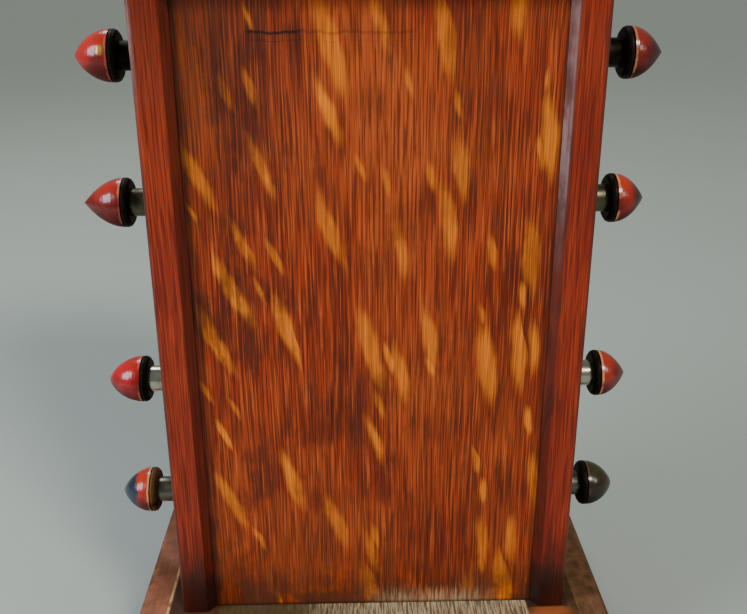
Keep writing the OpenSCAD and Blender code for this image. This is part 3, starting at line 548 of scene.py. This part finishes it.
def paper():
    s = Shader("paper_matt")
    x, y, z = s.position()
    fibre = s.noise(s.vector(x, s.mul(y, 2.0), z), 1.4, 4)
    layers = s.noise(s.vector(0.0, s.mul(y, 2.5), s.mul(z, 2.5)), 1.0, 2)
    colour = s.mix(fibre, srgb(222, 210, 180), srgb(200, 184, 148))
    colour = s.mix(s.ramp(layers, 0.55, 0.75, 0.0, 0.35), colour, srgb(150, 130, 96))
    s.bump(fibre, 0.2, 0.0001)
    return s.finish(colour, 0.85)


def inked_cloth():
    s = Shader("cloth_inked")
    x, y, z = s.position()
    threads = []
    for direction in ("X", "Z"):
        thread = s.node("ShaderNodeTexWave", wave_type="BANDS", bands_direction=direction)
        s.feed(thread.inputs["Vector"], s.vector(x, y, z))
        thread.inputs["Scale"].default_value = 1.2
        threads.append(thread.outputs["Fac"])
    weave = s.mul(*threads)
    s.bump(weave, 0.5, 0.0002)
    return s.finish(s.mix(weave, srgb(14, 12, 26), srgb(46, 42, 62)), 0.75)


def paint(name, colour):
    s = Shader(name)
    thin = s.noise(s.vector(*s.position()), 0.6, 4)
    tone = s.mix(s.ramp(thin, 0.5, 0.8), colour, tuple(c * 1.8 + 0.02 for c in colour))
    s.bump(thin, 0.1, 0.0001)
    return s.finish(tone, 0.35)


PANEL = dict(dark=srgb(100, 30, 9), mid=srgb(162, 57, 18), light=srgb(200, 94, 38), pore=srgb(60, 15, 7),
             fleck=srgb(250, 138, 28))
STILE = dict(dark=srgb(110, 26, 11), mid=srgb(146, 43, 15), light=srgb(170, 64, 25), pore=srgb(78, 18, 8))
SIDE = dict(dark=srgb(82, 33, 14), mid=srgb(130, 58, 22), light=srgb(150, 70, 30), pore=srgb(46, 19, 9),
            fleck=srgb(186, 108, 44))
BASE = dict(dark=srgb(92, 54, 34), mid=srgb(118, 74, 50), light=srgb(134, 88, 62), pore=srgb(66, 38, 22))
BARE = dict(dark=srgb(140, 106, 66), mid=srgb(176, 140, 94), light=srgb(190, 156, 108),
            pore=srgb(104, 76, 46))
# the four spindles from top to bottom
SPINDLES = (
    dict(name="spindle_black", colour=srgb(40, 36, 28), dark=srgb(12, 10, 8), roughness=0.42, patina=0.6),
    dict(name="spindle_dark", colour=srgb(104, 100, 78), dark=srgb(34, 32, 24), roughness=0.34, patina=0.45),
    dict(name="spindle_bright", colour=srgb(206, 200, 182), dark=srgb(74, 66, 50), roughness=0.22,
         patina=0.3),
    dict(name="spindle_grey", colour=srgb(128, 122, 108), dark=srgb(44, 40, 34), roughness=0.3, patina=0.4),
)


def make_materials():
    """Every material but the knobs', by the name of its node or its slot."""
    glossy = dict(coat=0.18, coat_rough=0.2, specular=0.25, tone_at=(0.36, 0.64))
    satin = dict(coat=0.08, coat_rough=0.3, rough=(0.42, 0.6), specular=0.22)
    made = {
        "front_panel": oak("oak_panel", None, "z", shade=panel_shade, seed=3.0, **PANEL, **satin),
        "head_front": oak("oak_head", None, "z", seed=60.0, fleck_share=0.8, **PANEL, **satin),
        "stile": oak("oak_stile", None, "z", shade=stile_shade, seed=20.0, **STILE, **glossy),
        "side": oak("oak_side", None, "z", seed=31.0, fleck_share=0.7, **SIDE, coat=0.15, coat_rough=0.2,
                    specular=0.3),
        "seat_board": oak("oak_seat", None, "x", seed=9.0, **BARE, coat=0.0),
    }
    for node, look in (("waist_moulding", STILE), ("cornice", STILE), ("plinth", BASE), ("feet", BASE),
                       ("top_board", BASE)):
        made[node] = oak("oak_" + node, node, "mitre", seed=len(made) * 7.0, **look, **glossy)
    made["base_land"] = oak("oak_base_land", "base_land", "mitre", shade=base_shade, seed=44.0, **BASE,
                            coat=0.05, coat_rough=0.25, specular=0.12, rough=(0.5, 0.65))
    made["old_brass"] = metal("old_brass", srgb(188, 148, 78), srgb(128, 94, 46), 0.3, patina=0.4)
    made["bright_steel"] = metal("bright_steel", srgb(196, 192, 184), srgb(92, 84, 74), 0.24, patina=0.3)
    for number, look in enumerate(SPINDLES, 1):
        made["spindle_%d" % number] = metal(rings=True, **look)
    made["dark_steel"] = metal("dark_steel", srgb(96, 96, 98), srgb(44, 42, 42), 0.38, patina=0.5)
    made["blued_steel"] = metal("blued_steel", srgb(36, 52, 110), srgb(16, 20, 44), 0.22, patina=0.2)
    made["enamel"] = enamel()
    made["clear_glass"] = clear_glass()
    made["record_paper"] = paper()
    made["inked_cloth"] = inked_cloth()
    made["black_paint"] = paint("black_paint", srgb(22, 20, 20))
    return made


# ---------------------------------------------------------------- carried-over CAD nodes

SHARED = {"stile_left": "stile", "stile_right": "stile", "side_left": "side", "side_right": "side",
          "back_door": "side"}
KNOB_LOOKS = {
    "knob_left_1": dict(red=srgb(176, 30, 28), brass_spot=True, rim_wear_and_highlight=0.3, seed=3.0),
    "knob_left_2": dict(red=srgb(156, 28, 28), seed=11.0),
    "knob_left_3": dict(red=srgb(172, 18, 30), rim_wear_and_highlight=0.5, seed=23.0),
    "knob_left_4": dict(red=srgb(172, 38, 26), worn_tip=0.52, rim_wear_and_highlight=0.9, band_gold=0.5, seed=37.0),
    "knob_right_1": dict(red=srgb(132, 28, 24), tip_dark=0.9, seed=51.0),
    "knob_right_2": dict(red=srgb(170, 38, 24), rim_wear_and_highlight=0.9, tip_dark=1.0, seed=64.0),
    "knob_right_3": dict(red=srgb(150, 38, 30), rim_wear_and_highlight=0.9, tip_dark=0.5, seed=78.0),
    "knob_right_4": dict(red=srgb(48, 36, 22), rim_wear_and_highlight=0.1, tip_dark=0.3, seed=90.0),
}


BOARDS = ("front_panel", "head_front", "side_left", "side_right", "plinth")
FITTINGS = ("card_escutcheon", "door_fittings", "door_leaves", "bezel_hinge", "punch_lever", "door_key")
BOARD_ROUND, FITTING_ROUND = 0.0006, 0.0003


def soften(node, width, segments=3):
    """Breaks a sharp CAD edge with a small round, without touching the CAD mesh."""
    weld = node.modifiers.new("weld", "WELD")
    weld.merge_threshold = 0.00001
    bevel = node.modifiers.new("edge", "BEVEL")
    bevel.width = width
    bevel.segments = segments
    bevel.limit_method = "ANGLE"
    bevel.angle_limit = math.radians(35)
    bevel.harden_normals = True


def dress_nodes(materials):
    """Gives every carried-over node its material, and breaks the edges of the boards and fittings."""
    slot_of = {p["node"]: p["material_slot"] for p in frame["record"]["subparts"]}
    for name, node in NODES.items():
        if name in KNOB_LOOKS:
            material = worn_knob("lacquer_" + name, name, **KNOB_LOOKS[name])
        else:
            key = SHARED.get(name, name)
            material = materials.get(key) or materials[slot_of[name]]
        node.data.materials.clear()
        node.data.materials.append(material)
    for name in BOARDS:
        soften(NODES[name], BOARD_ROUND)
    for name in FITTINGS:
        soften(NODES[name], FITTING_ROUND, 2)


# ---------------------------------------------------------------- small pieces beside the CAD

def add_piece(name, bm, body, material):
    """A new object of the mesh, which moves with the body and counts as the slot's material."""
    bmesh.ops.recalc_face_normals(bm, faces=bm.faces)
    mesh = bpy.data.meshes.new(name)
    bm.to_mesh(mesh)
    bm.free()
    piece = bpy.data.objects.new(name, mesh)
    bpy.context.scene.collection.objects.link(piece)
    mesh.materials.append(material)
    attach(piece, body)


def add_prism(bm, outline, low, high, place):
    """A closed prism on a flat outline, from low to high along the place's own Z."""
    rings = [[bm.verts.new(place @ Vector((x, y, h))) for x, y in outline] for h in (low, high)]
    bm.faces.new(rings[0])
    bm.faces.new(rings[1])
    count = len(outline)
    for i in range(count):
        bm.faces.new((rings[0][i], rings[0][(i + 1) % count], rings[1][(i + 1) % count], rings[1][i]))


def arc(radius, start, stop, steps):
    """Points on a circle round the origin, from one angle to another."""
    return [(radius * math.cos(start + (stop - start) * i / steps),
             radius * math.sin(start + (stop - start) * i / steps)) for i in range(steps + 1)]


def facing(point, towards_front, turn=0.0):
    """A place whose Z points out of the front, or out of the back, of the case."""
    tilt = Matrix.Rotation(math.radians(90 if towards_front else -90), 4, "X")
    return Matrix.Translation(point) @ tilt @ Matrix.Rotation(turn, 4, "Z")


def add_screw(bm, place, radius, height):
    """A slotted round-head screw: two halves of a dome on a thin disc."""
    slot_half = 0.14 * radius
    disc_radius, disc_sides, sunk = 0.94 * radius, 24, 0.0003
    disc = arc(disc_radius, 0, 2 * math.pi * (disc_sides - 1) / disc_sides, disc_sides - 1)
    add_prism(bm, disc, -sunk, 0.3 * height, place)
    steps = 8
    for side in (1, -1):
        levels = []
        for k in range(6):
            rise = math.radians(15 * k)
            r = max(radius * math.cos(rise), 2.2 * slot_half)
            reach = math.acos(slot_half / r)
            points = arc(r, -reach, reach, steps)
            levels.append([bm.verts.new(place @ Vector((side * x, side * y, height * math.sin(rise))))
                           for x, y in points])
        for lower, upper in zip(levels, levels[1:]):
            for i in range(steps):
                bm.faces.new((lower[i], lower[i + 1], upper[i + 1], upper[i]))
        bm.faces.new(levels[0])
        bm.faces.new(levels[-1])
        bm.faces.new([level[0] for level in levels] + [level[-1] for level in reversed(levels)])


def screw_set(name, points, towards_front, radius, body, material):
    """One piece of several screws, each turned a little further than the last."""
    bm = bmesh.new()
    for i, point in enumerate(points):
        add_screw(bm, facing(point, towards_front, 0.7 + 1.1 * i), radius, 0.45 * radius)
    add_piece(name, bm, body, material)


def dial_marks(material):
    """Numbers 1 to 12 and a railway minute track, printed on the dial."""
    lo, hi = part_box("dial")
    middle = (lo + hi) / 2
    radius = (hi.x - lo.x) / 2
    ink = 0.00008
    track_in, track_out, rule = 0.845 * radius, 0.895 * radius, 0.006 * radius
    number_ring, number_size = 0.765 * radius, 0.185 * radius
    bm = bmesh.new()
    face = facing((middle.x, lo.y, middle.z), True)
    for edge in (track_in, track_out):
        steps = 120
        for i in range(steps):
            a, b = 2 * math.pi * i / steps, 2 * math.pi * (i + 1) / steps
            outline = [(r * math.cos(t), r * math.sin(t)) for r, t in
                       ((edge - rule, a), (edge + rule, a), (edge + rule, b), (edge - rule, b))]
            add_prism(bm, outline, -ink, ink, face)
    for minute in range(60):
        half = radius * (0.018 if minute % 5 == 0 else 0.007)
        spoke = face @ Matrix.Rotation(-math.radians(6 * minute), 4, "Z")
        outline = [(-half, track_in), (half, track_in), (half, track_out), (-half, track_out)]
        add_prism(bm, outline, -ink, 1.5 * ink, spoke)
    for hour in range(1, 13):
        curve = bpy.data.curves.new("hour", "FONT")
        curve.body = str(hour)
        curve.size = number_size
        curve.align_x = "CENTER"
        curve.align_y = "CENTER"
        curve.extrude = ink
        maker = bpy.data.objects.new("hour", curve)
        bpy.context.scene.collection.objects.link(maker)
        bpy.context.view_layer.update()
        mesh = bpy.data.meshes.new_from_object(maker.evaluated_get(bpy.context.evaluated_depsgraph_get()))
        turn = math.radians(30 * hour)
        centre = Matrix.Translation((number_ring * math.sin(turn), number_ring * math.cos(turn), 0))
        mesh.transform(face @ centre)
        bm.from_mesh(mesh)
        bpy.data.objects.remove(maker)
        bpy.data.curves.remove(curve)
        bpy.data.meshes.remove(mesh)
    bmesh.ops.remove_doubles(bm, verts=bm.verts, dist=0.000001)
    add_piece("dial_marks", bm, "case", material)


def make_screws(brass):
    """Screws in the card escutcheon, in the bezel's hinge and in both leaves of the door's two hinges."""
    lo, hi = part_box("card_escutcheon")
    inset = 0.0035
    points = [(x, lo.y, (lo.z + hi.z) / 2) for x in (lo.x + inset, hi.x - inset)]
    screw_set("escutcheon_screws", points, True, 0.002, "case", brass)

    lo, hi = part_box("bezel_hinge")
    plate_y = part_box("head_front")[0].y - 0.001
    from_side, from_end = 0.0055, 0.005
    points = [(lo.x + from_side, plate_y, z) for z in (lo.z + from_end, hi.z - from_end)]
    screw_set("bezel_hinge_screws", points, True, 0.0016, "case", brass)

    lo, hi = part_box("door_leaves")
    leaf_y = lo.y + 0.0015
    hinge_len, radius = 0.048, 0.0022
    starts = (lo.z, hi.z - hinge_len)
    points = [(hi.x - inset, leaf_y, start + hinge_len / 2) for start in starts for inset in (0.004, 0.012)]
    screw_set("door_leaf_screws", points, False, radius, "door", brass)

    fixed_x = -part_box("side_right")[0].x - 0.0055
    points = [(fixed_x, leaf_y, start + hinge_len * part) for start in starts for part in (1 / 6, 5 / 6)]
    screw_set("fixed_leaf_screws", points, False, radius, "case", brass)


make_camera()
make_studio()
materials = make_materials()
dress_nodes(materials)
dial_marks(materials["black_paint"])
make_screws(materials["old_brass"])
